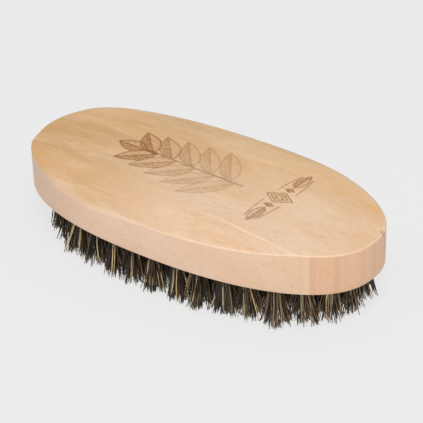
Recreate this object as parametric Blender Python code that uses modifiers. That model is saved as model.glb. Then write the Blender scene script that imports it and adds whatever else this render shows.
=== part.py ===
"""Beard brush: a one-piece wooden block with bristle tufts set in blind holes in its underside.

Frame: origin on the surface that the bristle tips stand on, under the middle of the block, +X along the
block, +Z up. Each tuft is folded over a small flat anchor that is driven into its hole. The outer ring of
tufts has a node for each tuft. Inside it, neighbouring tufts whose tips grow into each other are joined in
twos and threes.
"""

import math

import bmesh
import bpy
import numpy as np
from mathutils import Matrix, Vector

# Driving dimensions, in metres.
LENGTH = 0.120
WIDTH = 0.0586
BLOCK_HEIGHT = 0.0136
BRISTLE_LENGTH = 0.0126  # what shows of a tuft below the block
TUFT_SPACING = 0.0077

# The outline is a superellipse that is slightly narrower at its +X end.
HALF_LENGTH = LENGTH / 2
HALF_WIDTH = WIDTH / 2
OUTLINE_POWER = 2.32
TAPER = 0.066
OUTLINE_POINTS = 72

# The top is a shallow crown with a long flat sanded along each of its long edges. The flat's edge height is
# its height at the outline, half way along the block, and it rises towards +X.
END_DROP = 0.0016
SIDE_DROP = 0.0005
CROWN_POWER = 3
FLAT_SLOPE = 0.22
FRONT_EDGE_HEIGHT = 0.0104
FRONT_RISE = 0.002
BACK_EDGE_HEIGHT = 0.0115
BACK_RISE = 0.035
TOP_CELL = 0.005

# Tufts, their holes and their anchors.
HOLE_RADIUS = 0.0022
HOLE_DEPTH = 0.0080
ROOT_RADIUS = 0.0018
TIP_RADIUS = 0.0034
ROOT_GAP = 0.0003
TUFT_SIDES = 8
FLARE_STEPS = 2
ANCHOR_SIZE = (0.0039, 0.0005, 0.0022)
ANCHOR_ABOVE_ROOT = 0.0008
OUTWARD_LEAN = 0.0006
JOINED_TIP_SPACING = 0.0056

# Rings of tufts from the outside in: name, inset from the ends and from the sides of the outline, tufts, tufts
# in each node. The rings and the row in the centre sit a little nearer the +X end.
RINGS = (
    ("outer", 0.0087, 0.0046, 33, 1),
    ("middle", 0.0160, 0.0119, 26, 2),
    ("inner", 0.0233, 0.0192, 21, 3),
)
RING_SHIFT = 0.0012
CENTRE_TUFTS = 8
CENTRE_GROUP = 2

UNDERSIDE = BRISTLE_LENGTH
HOLE_TOP = UNDERSIDE + HOLE_DEPTH
ROOT_TOP = HOLE_TOP - ROOT_GAP


def clear_scene():
    for obj in list(bpy.data.objects):
        bpy.data.objects.remove(obj, do_unlink=True)


def new_collection(name):
    collection = bpy.data.collections.new(name)
    bpy.context.scene.collection.children.link(collection)
    return collection


def new_material(name, color, roughness, metallic=0.0):
    material = bpy.data.materials.new(name)
    material.use_nodes = True
    shader = material.node_tree.nodes["Principled BSDF"]
    shader.inputs["Base Color"].default_value = (*color, 1.0)
    shader.inputs["Roughness"].default_value = roughness
    shader.inputs["Metallic"].default_value = metallic
    return material


def new_object(name, mesh, collection, material=None):
    obj = bpy.data.objects.new(name, mesh)
    collection.objects.link(obj)
    if material:
        mesh.materials.clear()
        mesh.materials.append(material)
    return obj


def new_cutter(name, mesh, collection):
    cutter = new_object(name, mesh, collection)
    cutter.hide_render = True
    cutter.display_type = "WIRE"
    return cutter


def mesh_from(build, name):
    """A mesh that build(bm) fills in."""
    bm = bmesh.new()
    build(bm)
    mesh = bpy.data.meshes.new(name)
    bm.to_mesh(mesh)
    bm.free()
    return mesh


def evaluated_mesh(obj):
    graph = bpy.context.evaluated_depsgraph_get()
    return bpy.data.meshes.new_from_object(obj.evaluated_get(graph))


def add_boolean(obj, operation, other):
    modifier = obj.modifiers.new(operation.title(), "BOOLEAN")
    modifier.operation = operation
    modifier.solver = "EXACT"
    modifier.object = other


def outline_point(angle, end_inset=0.0, side_inset=0.0):
    """The point of the outline, or of the line that far inside it, at this angle of the superellipse."""
    across = math.copysign(abs(math.cos(angle)) ** (2 / OUTLINE_POWER), math.cos(angle))
    along = math.copysign(abs(math.sin(angle)) ** (2 / OUTLINE_POWER), math.sin(angle))
    narrowing = 1 - TAPER * across
    return (HALF_LENGTH - end_inset) * across, (HALF_WIDTH - side_inset) * along * narrowing


def ring_places(end_inset, side_inset, count):
    """Points at equal distances round a ring inside the outline, the first at +X."""
    angles = np.linspace(0, 2 * math.pi, 2000)
    fine = np.array([outline_point(angle, end_inset, side_inset) for angle in angles])
    fine[:, 0] += RING_SHIFT
    run = np.concatenate([[0], np.cumsum(np.linalg.norm(np.diff(fine, axis=0), axis=1))])
    stops = np.arange(count) / count * run[-1]
    return [Vector((np.interp(s, run, fine[:, 0]), np.interp(s, run, fine[:, 1]))) for s in stops]


def top_height(x, y):
    """Height of the block's top above its underside: the crown, or a sanded flat where that is lower."""
    ends = END_DROP * abs(x / HALF_LENGTH) ** CROWN_POWER
    sides = SIDE_DROP * abs(y / HALF_WIDTH) ** CROWN_POWER
    front = FRONT_EDGE_HEIGHT + FRONT_RISE * x + FLAT_SLOPE * (HALF_WIDTH + y)
    back = BACK_EDGE_HEIGHT + BACK_RISE * x + FLAT_SLOPE * (HALF_WIDTH - y)
    return min(BLOCK_HEIGHT - ends - sides, front, back)


def slab_mesh():
    """The block before shaping: its outline extruded to its full height."""
    curve = bpy.data.curves.new("outline", "CURVE")
    curve.dimensions = "2D"
    curve.fill_mode = "BOTH"
    curve.extrude = BLOCK_HEIGHT / 2
    spline = curve.splines.new("POLY")
    spline.points.add(OUTLINE_POINTS - 1)
    spline.use_cyclic_u = True
    for i, point in enumerate(spline.points):
        point.co = (*outline_point(2 * math.pi * i / OUTLINE_POINTS), 0, 1)
    drawn = new_object("outline", curve, bpy.context.scene.collection)
    mesh = evaluated_mesh(drawn)
    bpy.data.objects.remove(drawn)
    bm = bmesh.new()
    bm.from_mesh(mesh)
    bmesh.ops.remove_doubles(bm, verts=bm.verts, dist=1e-6)
    bmesh.ops.translate(bm, verts=bm.verts, vec=(0, 0, UNDERSIDE + BLOCK_HEIGHT / 2))
    bm.to_mesh(mesh)
    bm.free()
    return mesh


def top_cutter_sheet(bm):
    """A sheet over the block that follows the shape of its top."""
    half_x = HALF_LENGTH + TOP_CELL
    half_y = HALF_WIDTH + TOP_CELL
    cells_x = round(2 * half_x / TOP_CELL)
    cells_y = round(2 * half_y / TOP_CELL)
    bmesh.ops.create_grid(bm, x_segments=cells_x, y_segments=cells_y, size=1)
    for vertex in bm.verts:
        x = vertex.co.x * half_x
        y = vertex.co.y * half_y
        vertex.co = (x, y, UNDERSIDE + top_height(x, y))


def hole_cutters(bm, places):
    """A round cutter for every tuft hole, running out through the underside."""
    overrun = 0.002
    for x, y in places:
        bmesh.ops.create_cone(
            bm,
            cap_ends=True,
            segments=TUFT_SIDES,
            radius1=HOLE_RADIUS,
            radius2=HOLE_RADIUS,
            depth=HOLE_DEPTH + overrun,
            matrix=Matrix.Translation((x, y, HOLE_TOP - (HOLE_DEPTH + overrun) / 2)),
        )


def make_block(places, parts, cutters, wood):
    block = new_object("wooden_block", slab_mesh(), parts, wood)
    top_cutter = new_cutter("top_cutter", mesh_from(top_cutter_sheet, "top_cutter"), cutters)
    thickness = top_cutter.modifiers.new("Solidify", "SOLIDIFY")
    thickness.thickness = BLOCK_HEIGHT
    thickness.offset = 1
    holes = new_cutter("hole_cutters", mesh_from(lambda bm: hole_cutters(bm, places), "hole_cutters"), cutters)
    add_boolean(block, "DIFFERENCE", top_cutter)
    add_boolean(block, "DIFFERENCE", holes)
    return block


def upright_tuft():
    """One tuft on the Z axis, turned from its profile: a straight root, then a flare down to flat tips."""
    flare = [
        (ROOT_RADIUS + (TIP_RADIUS - ROOT_RADIUS) * (k / FLARE_STEPS) ** 1.3, UNDERSIDE * (1 - k / FLARE_STEPS))
        for k in range(FLARE_STEPS + 1)
    ]
    outline = [(0, ROOT_TOP), (ROOT_RADIUS, ROOT_TOP), *flare, (0, 0)]

    def profile(bm):
        points = [bm.verts.new((radius, 0, z)) for radius, z in outline]
        for upper, lower in zip(points, points[1:]):
            bm.edges.new((upper, lower))

    drawn = new_object("tuft_profile", mesh_from(profile, "tuft_profile"), bpy.context.scene.collection)
    turn = drawn.modifiers.new("Screw", "SCREW")
    turn.steps = TUFT_SIDES
    turn.render_steps = TUFT_SIDES
    turn.use_merge_vertices = True
    turn.merge_threshold = 1e-5
    mesh = evaluated_mesh(drawn)
    bpy.data.objects.remove(drawn)
    return mesh


def placed_tuft(upright, root, tip_shift):
    """A copy of the tuft in its hole, leaning so that its tips are off by tip_shift in X and Y."""
    mesh = upright.copy()
    for vertex in mesh.vertices:
        leaning = max(0.0, 1 - vertex.co.z / UNDERSIDE)
        shift = root + tip_shift * leaning
        vertex.co.x += shift.x
        vertex.co.y += shift.y
    return mesh


def anchor_mesh(root):
    """The flat metal anchor that the tuft is folded over, across the top of its hole."""

    def box(bm):
        bmesh.ops.create_cube(bm, size=1)
        bmesh.ops.scale(bm, verts=bm.verts, vec=ANCHOR_SIZE)
        middle = ROOT_TOP - ANCHOR_ABOVE_ROOT - ANCHOR_SIZE[2] / 2
        bmesh.ops.translate(bm, verts=bm.verts, vec=(root.x, root.y, middle))

    return mesh_from(box, "anchor")


def fused(meshes):
    """One mesh from several that overlap."""
    objects = [new_object("fusing", mesh, bpy.context.scene.collection) for mesh in meshes]
    for other in objects[1:]:
        add_boolean(objects[0], "UNION", other)
    bpy.context.view_layer.update()
    result = evaluated_mesh(objects[0])
    for obj in objects:
        bpy.data.objects.remove(obj)
    return result


def make_tufts(name, roots, leans, parts, hair, upright):
    """One node: the tufts that are joined at their tips, and the anchor of each."""
    tufts = [placed_tuft(upright, root, lean) for root, lean in zip(roots, leans)]
    anchors = [anchor_mesh(root) for root in roots]
    mesh = fused(tufts + anchors)
    mesh.shade_smooth()
    mesh.set_sharp_from_angle(angle=math.radians(40))
    return new_object(name, mesh, parts, hair)


def joined_leans(roots):
    """How far each tip of a joined group moves towards the middle of the group."""
    middle = sum(roots, Vector((0, 0))) / len(roots)
    spacing = (roots[1] - roots[0]).length
    pull = 1 - JOINED_TIP_SPACING / spacing
    return [pull * (middle - root) for root in roots]


def outward_lean(root):
    return OUTWARD_LEAN * Vector((root.x * (HALF_WIDTH / HALF_LENGTH) ** 2, root.y)).normalized()


def tuft_groups():
    """(name, roots, leans) of every tuft node."""
    groups = []
    for ring, end_inset, side_inset, count, size in RINGS:
        roots = ring_places(end_inset, side_inset, count)
        for k in range(count // size):
            members = roots[k * size : (k + 1) * size]
            leans = joined_leans(members) if size > 1 else [outward_lean(members[0])]
            groups.append((f"{ring}_tuft_{k + 1:02d}" if size == 1 else f"{ring}_tufts_{k + 1:02d}", members, leans))
    first = RING_SHIFT - (CENTRE_TUFTS - 1) / 2 * TUFT_SPACING
    row = [Vector((first + k * TUFT_SPACING, 0)) for k in range(CENTRE_TUFTS)]
    for k in range(CENTRE_TUFTS // CENTRE_GROUP):
        members = row[k * CENTRE_GROUP : (k + 1) * CENTRE_GROUP]
        groups.append((f"centre_tufts_{k + 1:02d}", members, joined_leans(members)))
    return groups


def main():
    clear_scene()
    parts = new_collection("beard_brush")
    cutters = new_collection("cutters")
    wood = new_material("wood", (0.62, 0.40, 0.22), 0.55)
    hair = new_material("bristle", (0.10, 0.075, 0.05), 0.6)
    groups = tuft_groups()
    places = [root for _, roots, _ in groups for root in roots]
    make_block(places, parts, cutters, wood)
    upright = upright_tuft()
    for name, roots, leans in groups:
        make_tufts(name, roots, leans, parts, hair, upright)


main()
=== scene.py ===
"""Looks of the beard brush: the wooden block with its engraved top, every hair of every tuft, the flat wire
anchors inside, the floor, the light and the camera. Lengths are in metres, in the frame of the CAD model.
"""

import math

import bmesh
import bpy
import numpy as np
from mathutils import Matrix, Vector


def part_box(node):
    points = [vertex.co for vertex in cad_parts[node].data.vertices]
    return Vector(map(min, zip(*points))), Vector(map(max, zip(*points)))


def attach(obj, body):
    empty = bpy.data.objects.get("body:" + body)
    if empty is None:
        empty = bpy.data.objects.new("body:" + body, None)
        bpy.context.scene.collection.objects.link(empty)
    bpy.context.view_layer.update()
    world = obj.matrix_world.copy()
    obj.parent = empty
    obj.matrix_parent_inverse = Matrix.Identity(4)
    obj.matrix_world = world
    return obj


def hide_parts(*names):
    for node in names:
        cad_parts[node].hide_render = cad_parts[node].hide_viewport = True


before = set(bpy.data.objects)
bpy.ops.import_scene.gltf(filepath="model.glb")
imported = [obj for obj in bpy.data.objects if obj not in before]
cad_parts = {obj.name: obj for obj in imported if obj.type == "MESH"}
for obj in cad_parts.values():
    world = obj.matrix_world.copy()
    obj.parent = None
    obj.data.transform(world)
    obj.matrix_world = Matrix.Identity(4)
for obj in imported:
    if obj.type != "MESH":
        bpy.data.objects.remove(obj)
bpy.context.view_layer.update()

# The block's box gives its length and height. The rest shapes it as the CAD model does, with the sanding in
# more detail: the outline and its taper, the crown, and the flats sanded along the front and the back of the
# top. Heights are above the underside.
BLOCK_LOW, BLOCK_HIGH = (Vector(corner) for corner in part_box("wooden_block"))
UNDERSIDE = BLOCK_LOW.z
HALF_LENGTH = (BLOCK_HIGH.x - BLOCK_LOW.x) / 2
BLOCK_HEIGHT = BLOCK_HIGH.z - BLOCK_LOW.z
HALF_WIDTH = 0.0293
OUTLINE_POWER = 2.32
TAPER = 0.066
END_DROP = 0.0016
SIDE_DROP = 0.0005
CROWN_POWER = 3
FRONT_SLOPE = 0.25
FRONT_EDGE_HEIGHT = 0.0104
FRONT_RISE = 0.002
FRONT_BEND = 0.022
FRONT_BEND_START = 0.030
BACK_SLOPE = 0.22
BACK_EDGE_HEIGHT = 0.0115
BACK_RISE = 0.035
SOFT_CREASE = 0.0014  # how far the crown and the front flat are blended, towards the -X end
SHARP_CREASE = 0.0001  # and towards the +X end
BACK_CREASE = 0.0012
CREASE_MARK = 0.00006  # how far apart crown and flat are where the crease stops catching the light
RIM_RADIUS = 0.00045
SOFT_RIM = 0.0020  # added to the rim's radius where it is sanded softest
BACK_RIM = 0.0005  # added along the back

# The -X end is sanded a little flat. Its depth, middle and width are shares of the outline.
END_FLAT = 0.012
END_FLAT_MIDDLE = -0.27
END_FLAT_WIDTH = 0.16

# Holes in the underside, the wire anchors driven into them, and the lean of the outer ring of tufts: outward
# along the sides of the brush and slightly inward at its ends.
HOLE_RADIUS = 0.0020
HOLE_DEPTH = 0.0080
HOLE_POINT = 0.0007
ROOT_RADIUS = 0.0017
ANCHOR_SIZE = (0.0039, 0.0005, 0.0022)
ANCHOR_BEND = 0.0003
ANCHOR_ROUNDING = 0.00012
ANCHOR_BELOW_HOLE_TOP = 0.0011
OUTWARD_LEAN = 0.0006
END_TUCK = 0.0015

# Rings of tufts from the outside in: name, inset from the ends and from the sides of the outline, number of
# tufts, tufts in each CAD node, hairs in a tuft.
RINGS = (
    ("outer", 0.0087, 0.0046, 33, 1, 92),
    ("middle", 0.0160, 0.0119, 26, 2, 72),
    ("inner", 0.0233, 0.0192, 21, 3, 56),
)
RING_SHIFT = 0.0012  # of the rings and the centre row, towards +X
TUFT_SPACING = 0.0077  # in the centre row
CENTRE_TUFTS = 8
CENTRE_GROUP = 2
CENTRE_HAIRS = 56

# Fineness of the block's mesh. The top's cells are closer together in the middle, where the engraving is.
CELLS_ALONG = 400
CELLS_ACROSS = 190
MIDDLE_DENSITY = 0.28
RIM_STEPS = 5
FOOT_RADIUS = 0.0005
FOOT_STEPS = 3
WALL_RINGS = 3
HOLE_SIDES = 24

rng = np.random.default_rng(7)


# ---------------------------------------------------------------- block shape


def smoothstep(low, high, value):
    """0 at low, 1 at high and smooth between them. The ends may be given in either order."""
    share = np.clip((value - low) / (high - low), 0, 1)
    return share * share * (3 - 2 * share)


def lower_of(first, second, blend):
    """The lower of two heights, blended where they are this close."""
    overlap = np.maximum(blend - np.abs(first - second), 0)
    return np.minimum(first, second) - overlap**2 / (4 * blend)


def crown_height(x, y):
    """The shallow crown, which drops towards the ends and the sides."""
    ends = END_DROP * np.abs(x / HALF_LENGTH) ** CROWN_POWER
    sides = SIDE_DROP * np.abs(y / HALF_WIDTH) ** CROWN_POWER
    return BLOCK_HEIGHT - ends - sides


def front_flat_height(x, y):
    """The flat sanded along the front, which bends down a little before the +X end."""
    bend = FRONT_BEND * np.maximum(x - FRONT_BEND_START, 0)
    return FRONT_EDGE_HEIGHT + FRONT_RISE * x - bend + FRONT_SLOPE * (HALF_WIDTH + y)


def top_height(x, y):
    """Height of the top above the underside: the crown, blended into the flats sanded along both sides."""
    back = BACK_EDGE_HEIGHT + BACK_RISE * x + BACK_SLOPE * (HALF_WIDTH - y)
    crease = SOFT_CREASE + (SHARP_CREASE - SOFT_CREASE) * smoothstep(-0.01, 0.03, x)
    return lower_of(lower_of(crown_height(x, y), front_flat_height(x, y), crease), back, BACK_CREASE)


def front_crease_highlight(x, y):
    """The painted highlight along the crease between crown and front flat: most at the +X end, where it is
    sharp.
    """
    apart = crown_height(x, y) - front_flat_height(x, y)
    return 2 * np.exp(-((apart / CREASE_MARK) ** 2)) * smoothstep(0.006, 0.034, x)


def back_rim_reflection(across, along):
    """1 along the back edge of the top, where a grey painted reflection goes, and 0 away from it."""
    inside = HALF_WIDTH * (1 - np.hypot(across, along))
    return smoothstep(0.0008, 0.0001, inside) * smoothstep(0.4, 0.75, along)


def softness(across, along):
    """How softly the top edge is rounded, from 0 to 1: most at the front of the -X end."""
    x = HALF_LENGTH * across
    return smoothstep(-0.040, -0.028, x) * (1 - smoothstep(-0.024, 0.002, x)) * smoothstep(0, -0.4, along)


def rim_radius(across, along):
    """Radius of the rounded edge of the top."""
    return RIM_RADIUS + SOFT_RIM * softness(across, along) + BACK_RIM * smoothstep(0, 0.4, along)


def on_plan(across, along, inset):
    """Where a point of the unit disc lies on the block seen from above. The disc's edge is the outline."""
    radius = np.hypot(across, along)
    angle = np.arctan2(along, across)
    powers = np.abs(np.cos(angle)) ** OUTLINE_POWER + np.abs(np.sin(angle)) ** OUTLINE_POWER
    reach = powers ** (-1 / OUTLINE_POWER)
    off_middle = (along - END_FLAT_MIDDLE) / END_FLAT_WIDTH
    end_flat = END_FLAT * np.exp(-(off_middle**2)) * smoothstep(0, -0.5, across)
    stretch = 1 + (reach - 1 - end_flat) * radius**2
    px = across * stretch
    py = along * stretch
    return (HALF_LENGTH - inset) * px, (HALF_WIDTH - inset) * py * (1 - TAPER * px)


# Patches where the wood is more amber: middle, reach along and across the brush, strength.
WARM_PATCHES = (
    (0.0364, 0.0153, 0.0040, 0.0020, 0.6),
    (0.0512, 0.0140, 0.0060, 0.0022, 0.9),
    (0.0270, -0.0238, 0.0110, 0.0020, 0.5),
    (0.0352, -0.0228, 0.0016, 0.0007, 0.9),
    (0.0565, 0.0000, 0.0035, 0.0080, 0.35),
    (-0.0400, -0.0213, 0.0100, 0.0018, 0.6),
    (-0.0480, -0.0180, 0.0050, 0.0022, 0.45),
    (-0.0440, 0.0170, 0.0120, 0.0022, 0.4),
)


def warmth(x, y):
    """How amber the wood of the top is, from 0 to 1."""
    warm = np.zeros(x.shape)
    for middle_x, middle_y, along, across, strength in WARM_PATCHES:
        apart = ((x - middle_x) / along) ** 2 + ((y - middle_y) / across) ** 2
        warm = np.maximum(warm, strength * np.exp(-apart))
    return warm


# ---------------------------------------------------------------- engraving

# Both motifs are drawn in a picture frame of their own: right is +Y of the brush and up is -X.
ENGRAVING_DEPTH = 0.00008
LINE = 0.00037
LINE_BLUR = 0.00016
LEAF_STEPS = 14
VEIN_SLANT = 0.16  # how much further along the leaf a vein ends than it starts
SPRIG_FOOT = (0.0008, -0.0140)
SPRIG_TIP = (0.0008, 0.0225)
LEAF_PAIRS = 5
TIP_BAR = 0.0040  # length of the heavy stretch of stem below the tip leaf
DIVIDER_MIDDLE = (0.0022, -0.0262)
RULE_LENGTH = 0.0100
RULE_HEIGHT = 0.0030


class Drawing:
    """Engraved lines with their widths and strengths, and shaded leaves, all in the picture frame."""

    def __init__(self):
        self.starts = []
        self.ends = []
        self.widths = []
        self.strengths = []
        self.leaves = []

    def line(self, points, width, strength):
        """Adds a line through these points."""
        for start, end in zip(points, points[1:]):
            self.starts.append(start)
            self.ends.append(end)
            self.widths.append(width)
            self.strengths.append(strength)

    def burn(self, right, up):
        """How dark each point of the top is burnt, 0 where it isn't."""
        dark = np.zeros(right.shape)
        for (x0, y0), (x1, y1), width, strength in zip(self.starts, self.ends, self.widths, self.strengths):
            margin = width + LINE_BLUR
            near = (
                (right > min(x0, x1) - margin)
                & (right < max(x0, x1) + margin)
                & (up > min(y0, y1) - margin)
                & (up < max(y0, y1) + margin)
            )
            px = right[near] - x0
            py = up[near] - y0
            dx = x1 - x0
            dy = y1 - y0
            share = np.clip((px * dx + py * dy) / max(dx * dx + dy * dy, 1e-12), 0, 1)
            distance = np.hypot(px - share * dx, py - share * dy)
            mark = strength * (1 - smoothstep(width / 2 - LINE_BLUR, width / 2 + LINE_BLUR, distance))
            dark[near] = np.maximum(dark[near], mark)
        for base, along, length, half_width, strength in self.leaves:
            share = ((right - base.x) * along.x + (up - base.y) * along.y) / length
            aside = (up - base.y) * along.x - (right - base.x) * along.y
            width = half_width * leaf_width(np.clip(share, 0.001, 0.999))
            offset = aside / width
            inside = (share > 0) & (share < 1) & (np.abs(offset) < 1)
            tone = strength * np.where(offset > 0, 0.44 - 0.20 * offset, 0.08 - 0.14 * offset)
            dark = np.where(inside, np.maximum(dark, tone), dark)
        return dark


def leaf_width(share):
    """Half the width of a leaf at this share of its length, as a share of its widest."""
    return np.sin(math.pi * share**0.85) ** 0.9


def draw_leaf(drawing, base, angle, length, half_width, vein_gap, strength):
    """A pointed leaf with a midrib, an outline and close slanting veins, darker on one side."""
    along = Vector((math.cos(angle), math.sin(angle)))
    aside = Vector((-along.y, along.x))
    base = Vector(base)
    drawing.leaves.append((base, along, length, half_width, strength))

    def at(share, offset):
        """The point at this share of the leaf's length, from -1 to 1 across it."""
        width = half_width * leaf_width(share) if 0 < share < 1 else 0
        return tuple(base + along * (length * share) + aside * (width * offset))

    steps = [k / LEAF_STEPS for k in range(LEAF_STEPS + 1)]
    drawing.line([at(s, 1) for s in steps], LINE, strength)
    drawing.line([at(s, -1) for s in steps], LINE, strength)
    drawing.line([at(s, 0) for s in steps], LINE * 1.15, strength)
    veins = int(length / vein_gap)
    for k in range(1, veins):
        share = k / veins
        ahead = min(share + VEIN_SLANT, 0.985)
        drawing.line([at(share, 0), at(ahead, 0.95)], LINE * 0.85, strength)
        if k % 2:
            drawing.line([at(share, 0), at(ahead, -0.95)], LINE * 0.7, strength * 0.6)


def draw_sprig(drawing):
    """A sprig: a stem, a leaf at its tip and pairs of leaves up its sides, burnt darker towards the tip."""
    foot = Vector(SPRIG_FOOT)
    tip = Vector(SPRIG_TIP)
    drawing.line([SPRIG_FOOT, SPRIG_TIP], LINE * 1.7, 0.8)
    drawing.line([(tip.x, tip.y - TIP_BAR), (tip.x, tip.y - 0.0002)], LINE * 3.6, 1.4)
    draw_leaf(drawing, SPRIG_TIP, math.pi / 2, 0.0105, 0.0030, 0.00090, 1.3)
    for k in range(LEAF_PAIRS):
        share = k / (LEAF_PAIRS - 1)
        base = foot.lerp(tip, 0.10 + 0.80 * share)
        length = 0.0175 - 0.0045 * share
        spread = math.radians(52 - 10 * share)
        strength = 0.52 + 0.75 * share**2
        gap = 0.00105 - 0.00015 * share
        for side in (-1, 1):
            start = (base.x, base.y + 0.0008 * side)
            draw_leaf(drawing, start, math.pi / 2 - side * spread, length, 0.0031, gap, strength)


def draw_diamond(drawing, centre, half_width, half_height, rings):
    """Diamonds inside each other."""
    for k in range(rings):
        share = 1 - k / rings
        corners = [
            (centre[0] + half_width * share, centre[1]),
            (centre[0], centre[1] + half_height * share),
            (centre[0] - half_width * share, centre[1]),
            (centre[0], centre[1] - half_height * share),
        ]
        drawing.line([*corners, corners[0]], LINE * 1.15, 1.0)


def draw_divider(drawing):
    """A plain ornament: a diamond, and to each side a small diamond and a leaf between two curved rules."""
    middle = DIVIDER_MIDDLE
    draw_diamond(drawing, middle, 0.0030, 0.0046, 3)
    for side in (-1, 1):
        draw_diamond(drawing, (middle[0] + side * 0.0050, middle[1]), 0.0010, 0.0015, 2)
        start = (middle[0] + side * 0.0068, middle[1])
        angle = 0 if side > 0 else math.pi
        draw_leaf(drawing, start, angle, 0.0085, 0.0017, 0.00085, 1.0)
        for height in (-RULE_HEIGHT, RULE_HEIGHT):
            rule = [
                (middle[0] + side * (0.0036 + RULE_LENGTH * s), middle[1] + height * (1 - 0.35 * s * s))
                for s in (0, 0.25, 0.5, 0.75, 1)
            ]
            drawing.line(rule, LINE, 0.9)


def engraving(x, y):
    """How dark the top is burnt at each of these points."""
    drawing = Drawing()
    draw_sprig(drawing)
    draw_divider(drawing)
    return drawing.burn(y, -x)


# ---------------------------------------------------------------- tuft layout


def outline_point(angle, end_inset, side_inset):
    """A point of the outline, moved inward by these insets."""
    across = math.copysign(abs(math.cos(angle)) ** (2 / OUTLINE_POWER), math.cos(angle))
    along = math.copysign(abs(math.sin(angle)) ** (2 / OUTLINE_POWER), math.sin(angle))
    return (HALF_LENGTH - end_inset) * across, (HALF_WIDTH - side_inset) * along * (1 - TAPER * across)


def ring_places(end_inset, side_inset, count):
    """Points at equal distances round a ring inside the outline, the first at +X."""
    angles = np.linspace(0, 2 * math.pi, 2000)
    fine = np.array([outline_point(angle, end_inset, side_inset) for angle in angles])
    fine[:, 0] += RING_SHIFT
    run = np.concatenate([[0], np.cumsum(np.linalg.norm(np.diff(fine, axis=0), axis=1))])
    stops = np.arange(count) / count * run[-1]
    return [Vector((np.interp(s, run, fine[:, 0]), np.interp(s, run, fine[:, 1]))) for s in stops]


def tuft_layout():
    """(CAD node, number in the node, root, hairs, lean of the tips) of every tuft."""
    layout = []
    for ring, end_inset, side_inset, count, size, hairs in RINGS:
        for k, root in enumerate(ring_places(end_inset, side_inset, count)):
            plural = "s" if size > 1 else ""
            node = f"{ring}_tuft{plural}_{k // size + 1:02d}"
            outward = Vector((root.x * (HALF_WIDTH / HALF_LENGTH) ** 2, root.y)).normalized()
            tuck = END_TUCK * abs(root.x / HALF_LENGTH) ** 4
            lean = outward * (OUTWARD_LEAN - tuck if ring == "outer" else 0)
            layout.append((node, k % size + 1, root, hairs, lean))
    for k in range(CENTRE_TUFTS):
        root = Vector((RING_SHIFT + (k - (CENTRE_TUFTS - 1) / 2) * TUFT_SPACING, 0))
        node = f"centre_tufts_{k // CENTRE_GROUP + 1:02d}"
        layout.append((node, k % CENTRE_GROUP + 1, root, CENTRE_HAIRS, Vector((0, 0))))
    return layout


# ---------------------------------------------------------------- materials


class Nodes:
    """Shorthand for building a material's node tree. Colours are linear red, green and blue."""

    def __init__(self, name):
        self.material = bpy.data.materials.new(name)
        self.material.use_nodes = True
        self.tree = self.material.node_tree
        self.shader = self.tree.nodes["Principled BSDF"]

    def link(self, source, target):
        self.tree.links.new(source, target)

    def set(self, **values):
        """Sets inputs of the shader, with _ for a space in their names."""
        for name, value in values.items():
            self.shader.inputs[name.replace("_", " ")].default_value = value

    def position(self):
        """The place on the object, in metres."""
        return self.tree.nodes.new("ShaderNodeTexCoord").outputs["Object"]

    def attribute(self, name, output="Fac"):
        node = self.tree.nodes.new("ShaderNodeAttribute")
        node.attribute_name = name
        return node.outputs[output]

    def scaled(self, vector, scale, offset=(0, 0, 0)):
        """A place with each of its axes scaled, which sets how fine and how stretched a noise is there."""
        node = self.tree.nodes.new("ShaderNodeMapping")
        node.inputs["Scale"].default_value = scale
        node.inputs["Location"].default_value = offset
        self.link(vector, node.inputs["Vector"])
        return node.outputs["Vector"]

    def noise(self, vector, detail=3.0, roughness=0.5, distortion=0.0):
        node = self.tree.nodes.new("ShaderNodeTexNoise")
        node.inputs["Scale"].default_value = 1.0
        node.inputs["Detail"].default_value = detail
        node.inputs["Roughness"].default_value = roughness
        node.inputs["Distortion"].default_value = distortion
        self.link(vector, node.inputs["Vector"])
        return node.outputs["Fac"]

    def range(self, value, low, high, to_low=0.0, to_high=1.0):
        """A value between low and high, turned smoothly into one between to_low and to_high."""
        node = self.tree.nodes.new("ShaderNodeMapRange")
        node.interpolation_type = "SMOOTHSTEP"
        for name, number in (("From Min", low), ("From Max", high), ("To Min", to_low), ("To Max", to_high)):
            node.inputs[name].default_value = number
        self.link(value, node.inputs["Value"])
        return node.outputs["Result"]

    def math(self, operation, first, second=0.0):
        """A sum or the like, of two values that are sockets or plain numbers."""
        node = self.tree.nodes.new("ShaderNodeMath")
        node.operation = operation
        for socket, value in zip(node.inputs, (first, second)):
            if isinstance(value, (int, float)):
                socket.default_value = value
            else:
                self.link(value, socket)
        return node.outputs["Value"]

    def times(self, first, second):
        return self.math("MULTIPLY", first, second)

    def mix(self, share, first, second, blend="MIX"):
        """The first colour with this share of the second one. Each is a socket or plain numbers."""
        node = self.tree.nodes.new("ShaderNodeMix")
        node.data_type = "RGBA"
        node.blend_type = blend
        sockets = {socket.name: socket for socket in node.inputs if socket.enabled}
        self.link(share, sockets["Factor"])
        for name, value in (("A", first), ("B", second)):
            if isinstance(value, tuple):
                sockets[name].default_value = (*value, 1.0)
            else:
                self.link(value, sockets[name])
        return next(socket for socket in node.outputs if socket.enabled)

    def distance(self, vector, point):
        node = self.tree.nodes.new("ShaderNodeVectorMath")
        node.operation = "DISTANCE"
        node.inputs[1].default_value = point
        self.link(vector, node.inputs[0])
        return node.outputs["Value"]

    def split(self, vector):
        node = self.tree.nodes.new("ShaderNodeSeparateXYZ")
        self.link(vector, node.inputs["Vector"])
        return node.outputs

    def bump(self, height, distance):
        node = self.tree.nodes.new("ShaderNodeBump")
        node.inputs["Distance"].default_value = distance
        node.inputs["Strength"].default_value = 1.0
        self.link(height, node.inputs["Height"])
        self.link(node.outputs["Normal"], self.shader.inputs["Normal"])


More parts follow.
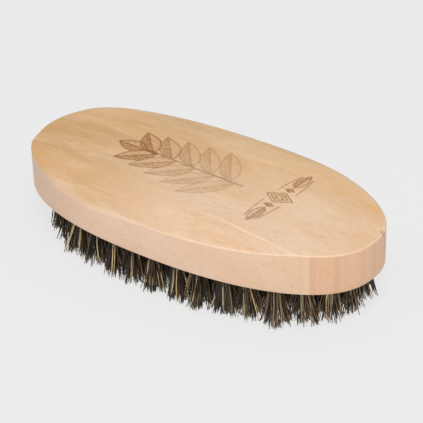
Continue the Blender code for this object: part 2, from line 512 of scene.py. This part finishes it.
END_GRAIN_X = 0.0511  # where the wall turns into end grain, with a thin dark line
GRAIN_LINE_X = 0.0434  # of a dark line in the wall, carried on down to Z = 0
GRAIN_LINE_SLANT = 0.28
KNOT = (0.0590, 0.0060, UNDERSIDE + 0.0118)


def wood_grain(wood, place):
    """Patterns of the wood, most of them stretched along X, from the widest to the finest."""
    return {
        "blotches": wood.noise(wood.scaled(place, (40, 90, 90), (7, 2, 4)), detail=3),
        "bands": wood.noise(wood.scaled(place, (24, 200, 200)), detail=3, distortion=0.6),
        "narrow bands": wood.noise(wood.scaled(place, (90, 450, 450), (2, 6, 1)), detail=4, distortion=0.8),
        "mottle": wood.noise(wood.scaled(place, (420, 1000, 1000), (5, 3, 1)), detail=3, roughness=0.6),
        "streaks": wood.noise(wood.scaled(place, (200, 1500, 1500), (3, 1, 2)), detail=4, roughness=0.62),
        "pores": wood.noise(wood.scaled(place, (300, 3600, 3600), (1, 5, 2)), detail=2, roughness=0.7),
        "end grain": wood.noise(wood.scaled(place, (430, 430, 8), (2, 2, 2)), detail=3),
    }


def top_colour(wood, where, grain):
    """Colour of the top, with bands along the grain: more amber towards the -X end and the back, with painted
    shade at the back of the +X half, and paler towards the front and the +X end, where a sheen is painted in.
    """
    pale = (0.83, 0.62, 0.43)
    golden = wood.mix(wood.range(where["Y"], -0.006, 0.018), (0.560, 0.322, 0.128), (0.620, 0.375, 0.165))
    # Painted sheen: the top is paler towards the front and the +X end, where it catches a soft sheen of the
    # light.
    towards_front = wood.range(where["Y"], 0.022, -0.014, 0.12, 1.0)
    painted_sheen = wood.times(wood.range(where["X"], -0.045, 0.014), towards_front)
    top = wood.mix(painted_sheen, golden, (0.740, 0.525, 0.367))
    top = wood.mix(wood.range(grain["bands"], 0.38, 0.66, 0.0, 0.50), top, (0.72, 0.455, 0.225))
    top = wood.mix(wood.range(grain["blotches"], 0.42, 0.70, 0.0, 0.35), top, pale)
    top = wood.mix(wood.range(grain["narrow bands"], 0.50, 0.72, 0.0, 0.25), top, (0.67, 0.40, 0.18))
    top = wood.mix(wood.range(grain["narrow bands"], 0.48, 0.26, 0.0, 0.25), top, pale)
    # Painted shade: darker amber towards the back of the +X half, where the crown turns away from the light.
    back_right_shade = wood.times(wood.range(where["X"], -0.010, 0.040), wood.range(where["Y"], 0.006, 0.020))
    top = wood.mix(wood.times(back_right_shade, 0.35), top, (0.68, 0.395, 0.165))
    # More painted sheen: paler towards the +X end.
    top = wood.mix(wood.range(where["X"], 0.016, 0.036, 0.0, 0.20), top, (0.79, 0.60, 0.46))
    warm = wood.times(wood.attribute("warm"), wood.range(grain["streaks"], 0.30, 0.60, 0.4, 0.8))
    return wood.mix(warm, top, (0.72, 0.375, 0.125))


def wall_colour(wood, where, grain):
    """Colour of the wall: rosier than the top, with a slanting dark line and end grain towards the +X end."""
    wall = wood.mix(wood.range(grain["blotches"], 0.30, 0.72), (0.79, 0.560, 0.410), (0.755, 0.505, 0.345))
    wall = wood.mix(wood.range(where["X"], -0.010, -0.045, 0.0, 0.6), wall, (0.66, 0.47, 0.35))
    wall = wood.mix(wood.range(where["X"], 0.020, 0.045, 0.0, 0.5), wall, (0.74, 0.495, 0.320))
    end_grain = wood.range(where["X"], END_GRAIN_X - 0.0005, END_GRAIN_X + 0.0002, 0.0, 0.46)
    wall = wood.mix(end_grain, wall, (0.66, 0.360, 0.200))
    upright = wood.times(wood.range(grain["end grain"], 0.46, 0.66), wood.range(where["X"], 0.042, 0.055))
    wall = wood.mix(wood.times(upright, 0.52), wall, (0.60, 0.34, 0.20))
    from_end_grain = wood.math("ABSOLUTE", wood.math("SUBTRACT", where["X"], END_GRAIN_X))
    wall = wood.mix(wood.range(from_end_grain, 0.00022, 0.0, 0.0, 0.40), wall, (0.55, 0.31, 0.18))
    slant = wood.math("ADD", where["X"], wood.times(where["Z"], GRAIN_LINE_SLANT))
    from_line = wood.math("ABSOLUTE", wood.math("SUBTRACT", slant, GRAIN_LINE_X))
    return wood.mix(wood.range(from_line, 0.0003, 0.0, 0.0, 0.22), wall, (0.58, 0.36, 0.23))


def with_grain(wood, colour, grain, upward):
    """The colour with its fine grain, which shows most on the top."""
    share = wood.math("ADD", wood.times(upward, 0.65), 0.35)
    dark_streaks = wood.times(wood.range(grain["streaks"], 0.48, 0.76, 0.0, 0.32), share)
    pale_streaks = wood.times(wood.range(grain["streaks"], 0.46, 0.22, 0.0, 0.25), share)
    colour = wood.mix(dark_streaks, colour, (0.58, 0.35, 0.18))
    colour = wood.mix(pale_streaks, colour, (0.92, 0.70, 0.48))
    colour = wood.mix(wood.range(grain["mottle"], 0.50, 0.72, 0.0, 0.29), colour, (0.56, 0.34, 0.18))
    return wood.mix(wood.range(grain["pores"], 0.58, 0.78, 0.0, 0.22), colour, (0.40, 0.22, 0.11))


def with_edge_light(wood, colour, where):
    """The colour with painted light at its edges: amber at the -X end, a greyish painted reflection along the
    back and a pale painted highlight elsewhere.
    """
    back = wood.range(where["Y"], 0.010, 0.017)
    edge = wood.mix(wood.range(where["X"], -0.042, -0.030), (0.62, 0.33, 0.12), (0.93, 0.72, 0.53))
    # Grey painted reflection along the back edge.
    edge = wood.mix(back, edge, (0.56, 0.48, 0.40))
    edge_light_share = wood.math("ADD", wood.range(where["X"], 0.028, 0.045, 0.38, 0.20), wood.times(back, 0.18))
    return wood.mix(wood.times(wood.attribute("edge_light"), edge_light_share), colour, edge)


def wood_material():
    """Pale sanded hardwood, with a knot at the +X end and the engraving burnt into the top."""
    wood = Nodes("pale_wood")
    place = wood.position()
    where = wood.split(place)
    facing = wood.split(wood.tree.nodes.new("ShaderNodeNewGeometry").outputs["Normal"])
    upward = wood.range(facing["Z"], 0.25, 0.85)
    grain = wood_grain(wood, place)
    colour = wood.mix(upward, wall_colour(wood, where, grain), top_colour(wood, where, grain))
    colour = with_grain(wood, colour, grain, upward)
    knot = wood.range(wood.distance(place, KNOT), 0.0012, 0.0006, 0.0, 0.55)
    colour = wood.mix(knot, colour, (0.30, 0.15, 0.06))
    # Painted highlights on the edges and a grey painted reflection along the back.
    colour = with_edge_light(wood, colour, where)
    burn = wood.attribute("burn")
    scorch = wood.noise(wood.scaled(place, (1700, 1700, 1700), (4, 4, 4)), detail=3, roughness=0.6)
    burnt = wood.times(burn, wood.range(scorch, 0.32, 0.62, 0.45, 1.15))
    colour = wood.mix(burnt, colour, (0.42, 0.262, 0.115), "MULTIPLY")
    wood.link(colour, wood.shader.inputs["Base Color"])

    roughness = wood.math("ADD", wood.range(grain["streaks"], 0.3, 0.7, 0.44, 0.58), wood.times(burn, 0.25))
    wood.link(roughness, wood.shader.inputs["Roughness"])
    wood.bump(wood.math("ADD", grain["streaks"], wood.times(grain["pores"], 0.6)), 0.00004)
    wood.set(Specular_IOR_Level=0.45)
    return wood.material


def bristle_material():
    """Each hair in its own colour, mottled along its length."""
    hair = Nodes("mixed_bristle")
    tint = hair.attribute("hair_colour", "Color")
    mottle = hair.noise(hair.scaled(hair.position(), (900, 900, 260)), detail=2)
    colour = hair.mix(hair.range(mottle, 0.3, 0.75, 0.0, 0.35), tint, (0.03, 0.02, 0.015))
    hair.link(colour, hair.shader.inputs["Base Color"])
    hair.set(Roughness=0.42, Specular_IOR_Level=0.35)
    return hair.material


def anchor_material():
    """Tarnished brass."""
    metal = Nodes("flat_wire")
    tarnish = metal.noise(metal.scaled(metal.position(), (1500, 1500, 1500)), detail=3)
    colour = metal.mix(metal.range(tarnish, 0.35, 0.7), (0.80, 0.60, 0.30), (0.58, 0.40, 0.18))
    metal.link(colour, metal.shader.inputs["Base Color"])
    metal.set(Metallic=1.0, Roughness=0.35)
    return metal.material


# ---------------------------------------------------------------- pieces


def add_piece(name, mesh, material, node):
    """Puts a mesh in the scene as the piece that stands for this CAD node, or for a part of it."""
    mesh.materials.append(material)
    obj = bpy.data.objects.new(name, mesh)
    bpy.context.scene.collection.objects.link(obj)
    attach(obj, "root")
    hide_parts(node)


def gathered(cells):
    """Steps from -1 to 1 that are closer together in the middle, where the engraving is."""
    steps = np.linspace(-1, 1, cells + 1)
    return steps * (1 - MIDDLE_DENSITY * (1 - steps**2))


def top_grid():
    """The top's vertices in rows along X: their places, their marks of burning, painted edge light and
    warmth, their indices, the indices round the border, and where they lie on the unit disc."""
    u, v = np.meshgrid(gathered(CELLS_ALONG), gathered(CELLS_ACROSS))
    across = u * np.sqrt(1 - v**2 / 2)
    along = v * np.sqrt(1 - u**2 / 2)
    x, y = on_plan(across, along, rim_radius(across, along))
    # Painted light on the top: a highlight along the front crease and a grey reflection along the back rim.
    edge_light = np.maximum(front_crease_highlight(x, y), back_rim_reflection(across, along))
    marks = {"burn": engraving(x, y), "edge_light": edge_light, "warm": warmth(x, y)}
    z = UNDERSIDE + top_height(x, y) - ENGRAVING_DEPTH * marks["burn"]
    index = np.arange(x.size).reshape(x.shape)
    border = np.concatenate([index[0, :-1], index[:-1, -1], index[-1, :0:-1], index[:0:-1, 0]])
    places = np.stack([x, y, z], axis=-1).reshape(-1, 3)
    return places, marks, index, border, across.ravel(), along.ravel()


def block_rings(across, along):
    """Rings of points from the rim of the top, round its edge, down the wall and in under the foot, and how
    much painted highlight each point gets."""
    rim = rim_radius(across, along)
    rings = []
    edge_light = []
    for k in range(1, RIM_STEPS + 1):
        turn = math.pi / 2 * k / RIM_STEPS
        x, y = on_plan(across, along, rim * (1 - math.sin(turn)))
        rings.append(np.stack([x, y, UNDERSIDE + top_height(x, y) - rim * (1 - math.cos(turn))], axis=-1))
        # Painted highlight in the middle of the rounded top edge, less where the edge is rounded softly.
        edge_light.append(math.sin(2 * turn) * (1 - softness(across, along)))
    edge = rings[-1]
    foot = UNDERSIDE + FOOT_RADIUS
    for k in range(1, WALL_RINGS + 1):
        share = k / WALL_RINGS
        lower = edge.copy()
        lower[:, 2] = edge[:, 2] * (1 - share) + foot * share
        rings.append(lower)
        edge_light.append(np.zeros(len(edge)))
    for k in range(1, FOOT_STEPS + 1):
        turn = math.pi / 2 * k / FOOT_STEPS
        x, y = on_plan(across, along, FOOT_RADIUS * (1 - math.cos(turn)))
        rings.append(np.stack([x, y, np.full(x.shape, foot - FOOT_RADIUS * math.sin(turn))], axis=-1))
        # Painted highlight on the rounded foot.
        edge_light.append(np.full(x.shape, 0.6 * math.sin(2 * turn)))
    return rings, np.concatenate(edge_light)


def close_underside(bm, rim_edges, roots):
    """Fills the underside round the mouths of the holes, and makes each hole's wall and drilled end."""
    mouths = []
    for root in roots:
        circle = bmesh.ops.create_circle(
            bm, segments=HOLE_SIDES, radius=HOLE_RADIUS, matrix=Matrix.Translation((*root, UNDERSIDE))
        )
        ring = circle["verts"]
        mouths.append(list({edge for vertex in ring for edge in vertex.link_edges}))
    loops = rim_edges + [edge for mouth in mouths for edge in mouth]
    bmesh.ops.triangle_fill(bm, use_beauty=True, use_dissolve=False, edges=loops)
    for mouth in mouths:
        grown = bmesh.ops.extrude_edge_only(bm, edges=mouth)["geom"]
        ring = [item for item in grown if isinstance(item, bmesh.types.BMVert)]
        ends = [item for item in grown if isinstance(item, bmesh.types.BMEdge)]
        ends = [edge for edge in ends if all(vertex in ring for vertex in edge.verts)]
        bmesh.ops.translate(bm, verts=ring, vec=(0, 0, HOLE_DEPTH))
        middle = sum((vertex.co for vertex in ring), Vector()) / len(ring)
        point = bm.verts.new(middle + Vector((0, 0, HOLE_POINT)))
        for edge in ends:
            bm.faces.new((*edge.verts, point))


def make_block(material, roots):
    """The block as one closed mesh: its top, its rings down to the foot, and its drilled underside."""
    places, marks, index, border, across, along = top_grid()
    rings, ring_edge_light = block_rings(across[border], along[border])
    vertices = np.concatenate([places, *rings])
    quads = np.stack([index[:-1, :-1], index[:-1, 1:], index[1:, 1:], index[1:, :-1]], axis=-1).reshape(-1, 4)
    faces = [quads]
    above = border
    for k in range(len(rings)):
        below = len(places) + k * len(border) + np.arange(len(border))
        faces.append(np.stack([above, below, np.roll(below, -1), np.roll(above, -1)], axis=-1))
        above = below
    mesh = bpy.data.meshes.new("wooden_block_carved")
    mesh.from_pydata(vertices.tolist(), [], np.concatenate(faces).tolist())
    for name, values in marks.items():
        # The rings carry only the painted edge highlight, no burning or warmth.
        rest = ring_edge_light if name == "edge_light" else np.zeros(len(ring_edge_light))
        values = np.concatenate([values.ravel(), rest]).astype(np.float32)
        mesh.attributes.new(name, "FLOAT", "POINT").data.foreach_set("value", values)
    bm = bmesh.new()
    bm.from_mesh(mesh)
    rim_edges = [edge for edge in bm.edges if edge.is_boundary]
    close_underside(bm, rim_edges, roots)
    bmesh.ops.recalc_face_normals(bm, faces=bm.faces)
    bm.to_mesh(mesh)
    bm.free()
    mesh.shade_smooth()
    mesh.set_sharp_from_angle(angle=math.radians(50))
    add_piece("wooden_block_carved", mesh, material, "wooden_block")


# Bristle colours, from black to straw, then silver and rust, and how often each occurs.
HAIR_COLOURS = np.array(
    [
        (0.011, 0.007, 0.005),
        (0.042, 0.023, 0.012),
        (0.112, 0.066, 0.032),
        (0.225, 0.165, 0.088),
        (0.610, 0.475, 0.245),
        (0.640, 0.590, 0.480),
        (0.170, 0.078, 0.034),
    ]
)
HAIR_SHARES = np.array([0.29, 0.24, 0.18, 0.13, 0.12, 0.02, 0.02])
SHARE_CHANGE = (0.35, 1.8)  # from tuft to tuft
SHADE_CHANGE = (0.7, 1.35)  # from hair to hair

# A hair is folded over the anchor, so it has two legs. Both leave the hole at its mouth and spread to their
# tips.
HAIR_RADIUS = (0.00011, 0.00021)
HAIR_TAPER = 0.35
NO_HAIR_RUNS = (0.3, 1.0, 0.1)  # a direction that no hair runs in
HAIR_SIDES = 4
LEG_POINTS = 7
FOLD_ABOVE_ANCHOR = 0.0004
FOLD_STEP = 0.0030  # distance between the two points of a leg inside its hole
MOUTH_DEPTH = 0.0006
MOUTH_SPREAD = 0.92  # share of the root's radius that the hairs fill at the mouth
CROSSING_SHARE = 0.35  # share of the legs that cross to the other side of the tuft
TIP_SPREAD = {"outer": 0.0043, "middle": 0.0046, "inner": 0.0046, "centre": 0.0044}
SPREAD_CHANGE = (0.85, 1.12)  # from tuft to tuft
WIDEST_REACH = 0.0049  # of a tip, from the middle of its tuft
TIP_STRAY = 0.0009
TUFT_STRAY = 0.0004
WISPS = 12  # clumps of tips in a tuft
WISP_PULL = (0.1, 0.6)
WISP_LIKENESS = 0.4  # share of the hairs that have the colour of their wisp
LEG_BOW = 0.0003
LEG_FLARE = (0.70, 1.20)  # below 1, a leg spreads early, and above 1, late
HAIR_SHORTFALL = 0.0006
TUFT_SHORTFALL = 0.0008
LOWEST_TIP = 0.0001


def hair_legs(root, lean, hairs, spread):
    """The two legs of each hair, as points from the fold at the anchor to the tip, and the wisp it joins. The
    legs are packed in a disc, one on each side of the anchor."""
    angle = rng.uniform(0, 2 * math.pi, (hairs, 2))
    reach = np.sqrt(rng.uniform(0, 1, (hairs, 2)))
    packed = np.stack([np.cos(angle), np.sin(angle)], axis=-1) * reach[..., None]
    packed[:, 0, 1] = np.abs(packed[:, 0, 1])
    packed[:, 1, 1] = -np.abs(packed[:, 1, 1])
    crossing = rng.uniform(0, 1, (hairs, 2, 1)) < CROSSING_SHARE
    mouth_place = np.where(crossing, -packed, packed) * MOUTH_SPREAD
    stray = rng.normal(0, TIP_STRAY, (hairs, 2, 2)) * rng.choice((1.0, 1.8), (hairs, 2, 1), p=(0.9, 0.1))
    tip = packed * spread * rng.uniform(*SPREAD_CHANGE) + stray
    centres = tip[rng.choice(hairs, WISPS, replace=False), 0]
    wisp = np.linalg.norm(tip[:, :, None] - centres, axis=3).argmin(axis=2)
    tip += (centres[wisp] - tip) * rng.uniform(*WISP_PULL, (hairs, 2, 1))
    tip *= np.minimum(1, WIDEST_REACH / np.linalg.norm(tip, axis=2, keepdims=True))
    tip += np.array(lean) + rng.normal(0, TUFT_STRAY, 2)
    end = np.abs(rng.normal(0, HAIR_SHORTFALL, (hairs, 2))) + rng.uniform(0, TUFT_SHORTFALL)
    bow = rng.normal(0, LEG_BOW, (hairs, 2, 2))
    flare = rng.uniform(*LEG_FLARE, (hairs, 2, 1))
    fold = UNDERSIDE + HOLE_DEPTH - ANCHOR_BELOW_HOLE_TOP + FOLD_ABOVE_ANCHOR
    mouth = UNDERSIDE + MOUTH_DEPTH
    points = np.zeros((hairs, 2, LEG_POINTS, 3))
    for k in range(LEG_POINTS):
        share = max(0, k - 2) / (LEG_POINTS - 3)
        spread_out = share**flare
        points[:, :, k, :2] = np.array(root) + mouth_place * ROOT_RADIUS * (1 - spread_out) + tip * spread_out
        points[:, :, k, :2] += bow * math.sin(math.pi * share)
        points[:, :, k, 2] = fold - k * FOLD_STEP if k < 2 else mouth - (mouth - end) * share
    points[..., 2] = np.maximum(points[..., 2], LOWEST_TIP)
    return points, wisp[:, 0]


def hair_tubes(paths, radii):
    """Thin tubes along the paths, thinner towards both ends: the points of each ring of each tube."""
    directions = np.gradient(paths, axis=1)
    directions /= np.linalg.norm(directions, axis=2, keepdims=True)
    side = np.cross(directions, NO_HAIR_RUNS)
    side /= np.linalg.norm(side, axis=2, keepdims=True)
    other = np.cross(directions, side)
    run = np.linspace(-1, 1, paths.shape[1])
    width = (radii[:, None] * (1 - HAIR_TAPER * np.abs(run) ** 6))[..., None, None]
    turns = (np.arange(HAIR_SIDES) / HAIR_SIDES * 2 * math.pi)[None, None, :, None]
    return paths[:, :, None] + width * (np.cos(turns) * side[:, :, None] + np.sin(turns) * other[:, :, None])


def tube_faces(rings):
    """Faces of one closed tube with this many rings."""
    corner = np.arange((rings - 1) * HAIR_SIDES)
    after = corner - corner % HAIR_SIDES + (corner + 1) % HAIR_SIDES
    sides = np.stack([corner, after, after + HAIR_SIDES, corner + HAIR_SIDES], axis=-1)
    ends = np.array([np.arange(HAIR_SIDES)[::-1], (rings - 1) * HAIR_SIDES + np.arange(HAIR_SIDES)])
    return np.concatenate([sides, ends])


def make_tuft(name, root, lean, hairs, material, node):
    """One tuft: each of its hairs is a closed tube."""
    legs, wisp = hair_legs(root, lean, hairs, TIP_SPREAD[node.split("_")[0]])
    paths = np.concatenate([legs[:, 0, ::-1], legs[:, 1]], axis=1)
    tubes = hair_tubes(paths, rng.uniform(*HAIR_RADIUS, hairs))
    tubes[..., 2] = np.maximum(tubes[..., 2], 0)
    size = tubes.shape[1] * HAIR_SIDES
    faces = tube_faces(tubes.shape[1])[None] + (np.arange(hairs) * size)[:, None, None]
    mesh = bpy.data.meshes.new(name)
    mesh.from_pydata(tubes.reshape(-1, 3).tolist(), [], faces.reshape(-1, 4).tolist())
    shares = HAIR_SHARES * rng.uniform(*SHARE_CHANGE, len(HAIR_SHARES))
    picks = rng.choice(len(HAIR_COLOURS), hairs, p=shares / shares.sum())
    alike = rng.uniform(0, 1, hairs) < WISP_LIKENESS
    picks = np.where(alike, rng.choice(len(HAIR_COLOURS), WISPS, p=HAIR_SHARES)[wisp], picks)
    colours = np.ones((hairs, size, 4), np.float32)
    colours[..., :3] = (HAIR_COLOURS[picks] * rng.uniform(*SHADE_CHANGE, (hairs, 1)))[:, None]
    mesh.attributes.new("hair_colour", "FLOAT_COLOR", "POINT").data.foreach_set("color", colours.ravel())
    mesh.shade_smooth()
    add_piece(name, mesh, material, node)


def anchor_shape():
    """A short length of flat wire with rounded edges, pressed into a shallow V where the driver struck it."""
    bm = bmesh.new()
    bmesh.ops.create_cube(bm, size=1)
    bmesh.ops.scale(bm, verts=bm.verts, vec=ANCHOR_SIZE)
    long_edges = [edge for edge in bm.edges if abs(edge.verts[0].co.x - edge.verts[1].co.x) > ANCHOR_SIZE[1]]
    bmesh.ops.subdivide_edges(bm, edges=long_edges, cuts=5, use_grid_fill=True)
    for vertex in bm.verts:
        vertex.co.z += ANCHOR_BEND * (1 - abs(vertex.co.x) / (ANCHOR_SIZE[0] / 2))
    bmesh.ops.bevel(
        bm,
        geom=[edge for edge in bm.edges if edge.calc_face_angle(0) > 1.0],
        offset=ANCHOR_ROUNDING,
        segments=2,
        affect="EDGES",
    )
    return bm


def make_anchor(name, root, shape, material, node):
    """One anchor, across the root of its tuft."""
    mesh = bpy.data.meshes.new(name)
    shape.to_mesh(mesh)
    height = UNDERSIDE + HOLE_DEPTH - ANCHOR_BELOW_HOLE_TOP - ANCHOR_SIZE[2] / 2
    mesh.transform(Matrix.Translation((root.x, root.y, height)))
    mesh.shade_smooth()
    add_piece(name, mesh, material, node)


# ---------------------------------------------------------------- stage

# The camera looks at a point a little in front of the block's middle, from the front and the right.
VIEW_AZIMUTH = math.radians(39.90)
VIEW_ELEVATION = math.radians(30.26)
VIEW_ROLL = math.radians(-1.29)
VIEW_DISTANCE = 0.5032
VIEW_TARGET = Vector((0.0086, -0.0068, UNDERSIDE + BLOCK_HEIGHT / 2))
LENS_MM = 149.4
SENSOR_MM = 36
PALE = 0.8228  # brightness of the surroundings
SKY_STRENGTH = 0.75
FLOOR_GLOW = 0.865
FLOOR_SIZE = 6
FLOOR_GAP = 0.0002
SHADOW_GLOW = 0.02  # brightness of the painted shadow on the floor among the bristles
SHADOW_REACH = (0.0228, 0.0168)  # across the brush, where the painted shadow on the floor starts and where it is darkest


def make_camera():
    """The camera, turned a little round its own axis."""
    back = Vector(
        (
            math.sin(VIEW_AZIMUTH) * math.cos(VIEW_ELEVATION),
            -math.cos(VIEW_AZIMUTH) * math.cos(VIEW_ELEVATION),
            math.sin(VIEW_ELEVATION),
        )
    )
    level = Vector((math.cos(VIEW_AZIMUTH), math.sin(VIEW_AZIMUTH), 0))
    upward = back.cross(level)
    right = level * math.cos(VIEW_ROLL) + upward * math.sin(VIEW_ROLL)
    up = upward * math.cos(VIEW_ROLL) - level * math.sin(VIEW_ROLL)
    data = bpy.data.cameras.new("camera")
    data.lens = LENS_MM
    data.sensor_width = SENSOR_MM
    data.clip_start = 0.01
    camera = bpy.data.objects.new("camera", data)
    turn = Matrix((right, up, back)).transposed().to_4x4()
    camera.matrix_world = Matrix.Translation(VIEW_TARGET + back * VIEW_DISTANCE) @ turn
    bpy.context.scene.collection.objects.link(camera)
    bpy.context.scene.camera = camera


def add_area_light(name, place, target, size, power, colour):
    """A round lamp of this width, turned towards its target."""
    data = bpy.data.lights.new(name, "AREA")
    data.shape = "DISK"
    data.size = size
    data.energy = power
    data.color = colour
    light = bpy.data.objects.new(name, data)
    light.location = place
    light.rotation_euler = (Vector(place) - Vector(target)).to_track_quat("Z", "Y").to_euler()
    bpy.context.scene.collection.objects.link(light)


def make_floor():
    """A pale floor that gives most of its own brightness, so that shadows on it stay faint. Among the
    bristles its glow is turned down into a painted shadow, where little light would get in."""
    bpy.ops.mesh.primitive_plane_add(size=FLOOR_SIZE, location=(0, 0, -FLOOR_GAP))
    floor = bpy.context.object
    floor.name = "floor"
    pale = Nodes("pale_floor")
    stretched = pale.scaled(pale.position(), (HALF_WIDTH / HALF_LENGTH, 1, 1))
    # Painted shadow: the floor's glow is turned down among the bristles.
    painted_shadow = pale.range(pale.distance(stretched, (0, 0, 0)), *SHADOW_REACH)
    pale.link(pale.mix(painted_shadow, (PALE,) * 3, (SHADOW_GLOW,) * 3), pale.shader.inputs["Emission Color"])
    pale.set(Base_Color=(0.12, 0.12, 0.12, 1), Roughness=1.0, Specular_IOR_Level=0.0)
    pale.set(Emission_Strength=FLOOR_GLOW)
    floor.data.materials.append(pale.material)


def make_lights():
    """Even light from all round and one large soft light from the front right."""
    world = bpy.data.worlds.new("studio")
    bpy.context.scene.world = world
    world.use_nodes = True
    sky = world.node_tree.nodes["Background"]
    sky.inputs["Color"].default_value = (PALE, PALE, PALE, 1)
    sky.inputs["Strength"].default_value = SKY_STRENGTH
    place = (0.33, -0.36, 0.66)
    add_area_light("softbox", place, target=(0, 0, 0.02), size=0.5, power=4.0, colour=(1, 0.99, 0.97))


def main():
    """Makes the stage, the block, and each tuft with its anchor."""
    layout = tuft_layout()
    make_camera()
    make_floor()
    make_lights()
    make_block(wood_material(), [root for _, _, root, _, _ in layout])
    hair = bristle_material()
    metal = anchor_material()
    shape = anchor_shape()
    for node, number, root, hairs, lean in layout:
        tag = node.replace("tufts", "tuft") + (f"_{number}" if "tufts" in node else "")
        make_tuft(f"{tag}_bristles", root, lean, hairs, hair, node)
        make_anchor(f"{tag}_anchor", root, shape, metal, node)
    shape.free()
    bpy.context.scene.view_settings.view_transform = "Standard"


main()
